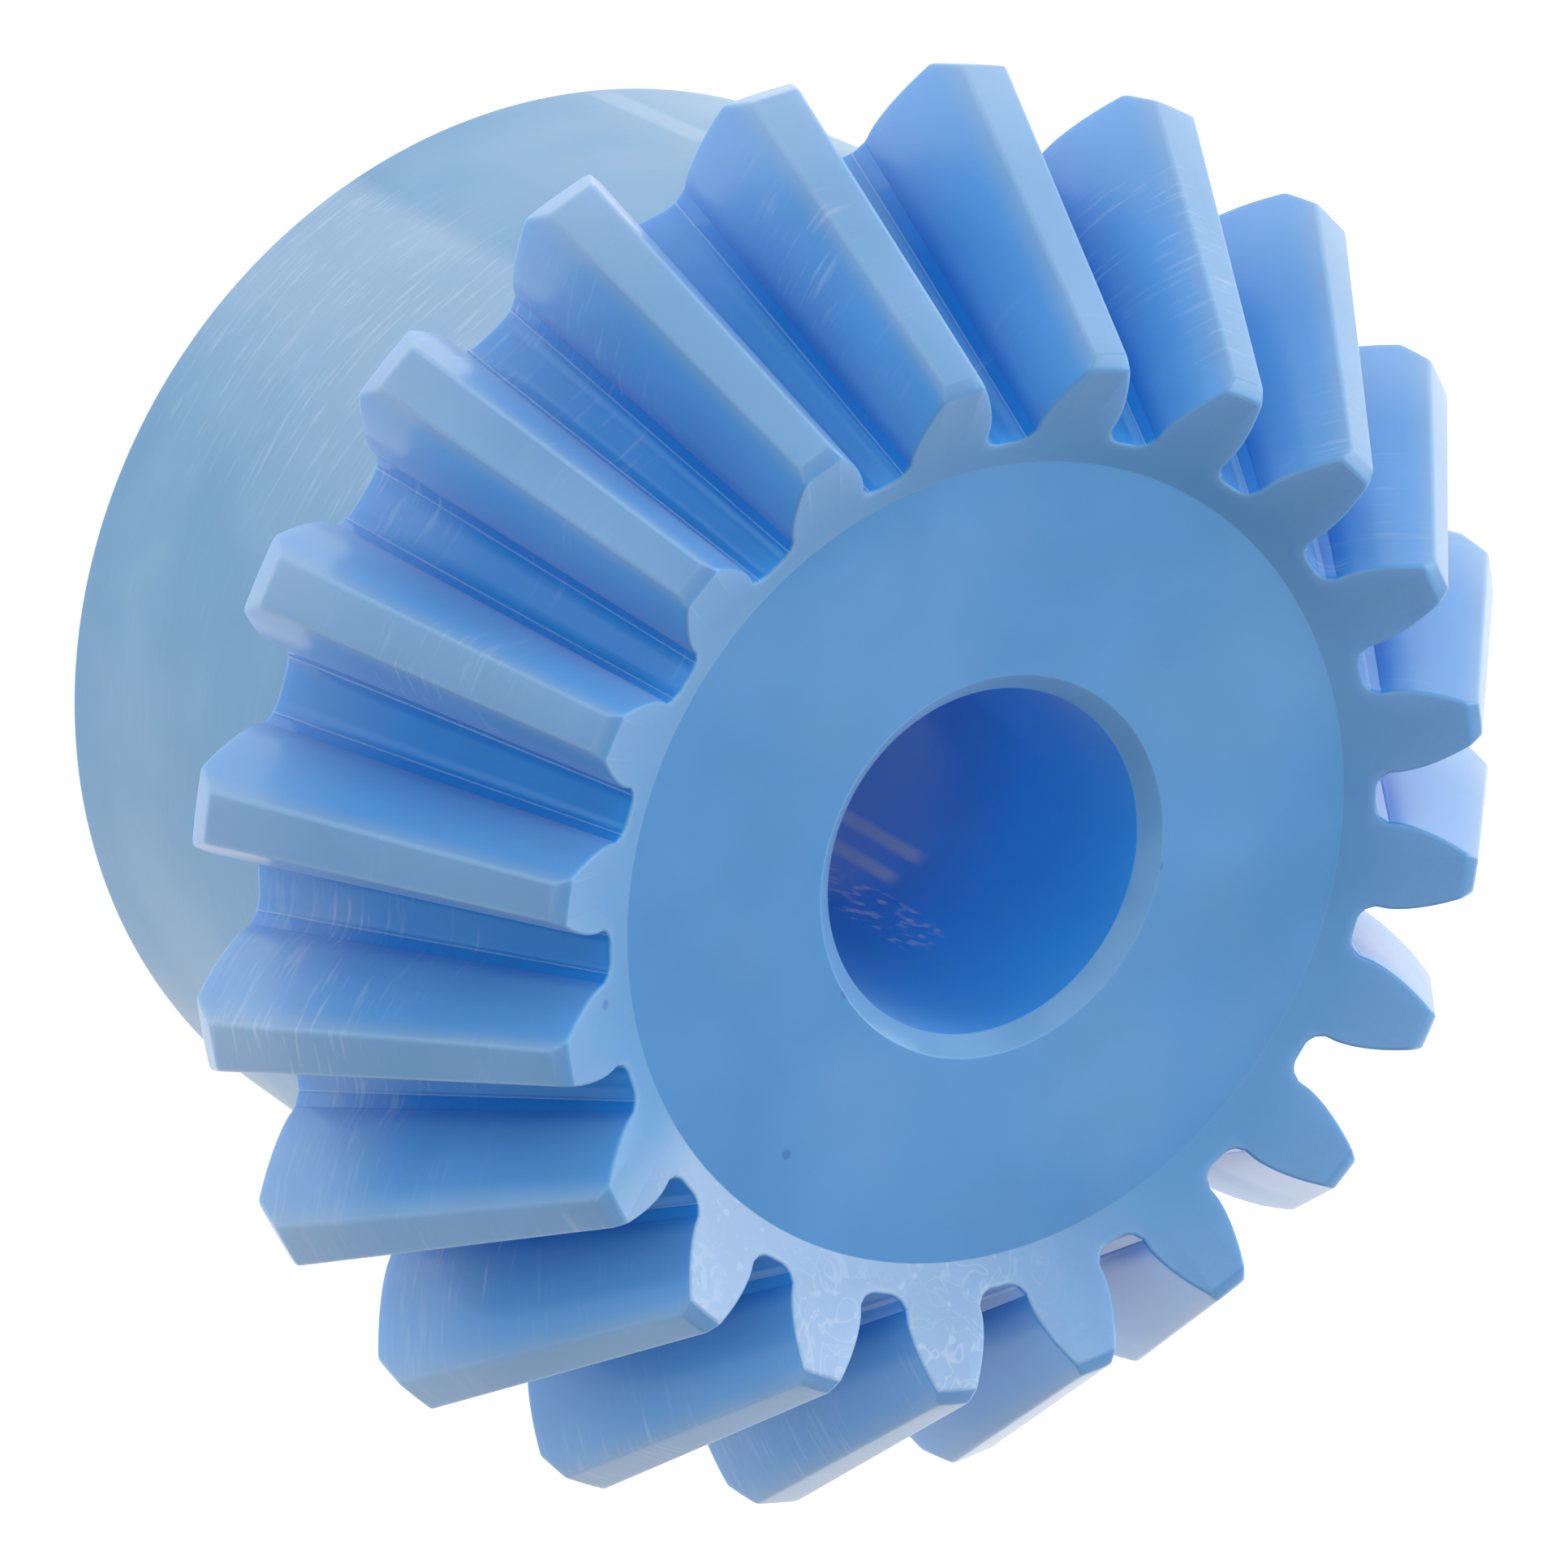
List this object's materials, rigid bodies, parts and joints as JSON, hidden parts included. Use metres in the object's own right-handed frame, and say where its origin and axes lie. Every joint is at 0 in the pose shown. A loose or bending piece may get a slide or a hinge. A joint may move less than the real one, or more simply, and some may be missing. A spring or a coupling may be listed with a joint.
{
  "type": "straight bevel gear",
  "caption": "Straight bevel gear in blue cast nylon: conical ring of tapered teeth on a thick plain-bored hub with radial set screws.",
  "frame": {"origin": "centre of the hub's flat back face, on the bore's axis", "axes": "+Z along the bore's axis from the hub's back face towards the small end of the teeth; one tooth is centred on +X; the set screws are on +Y and -X"},
  "size_m": [0.0636, 0.0636, 0.039],
  "materials": {
    "nylon": "machined cast nylon, satin, slightly translucent",
    "screw_steel": "plain stainless steel"
  },
  "bodies": {
    "gear": {"gear_body": "nylon"},
    "screw_1": {"set_screw_1": "screw_steel"},
    "screw_2": {"set_screw_2": "screw_steel"}
  },
  "joints": [
    {"name": "set_screw_1_travel", "type": "slide", "parent": "gear", "child": "screw_1", "axis": [0, 1, 0], "range_m": [-0.0009, 0.0086]},
    {"name": "set_screw_2_travel", "type": "slide", "parent": "gear", "child": "screw_2", "axis": [-1, 0, 0], "range_m": [-0.0009, 0.0086]}
  ]
}
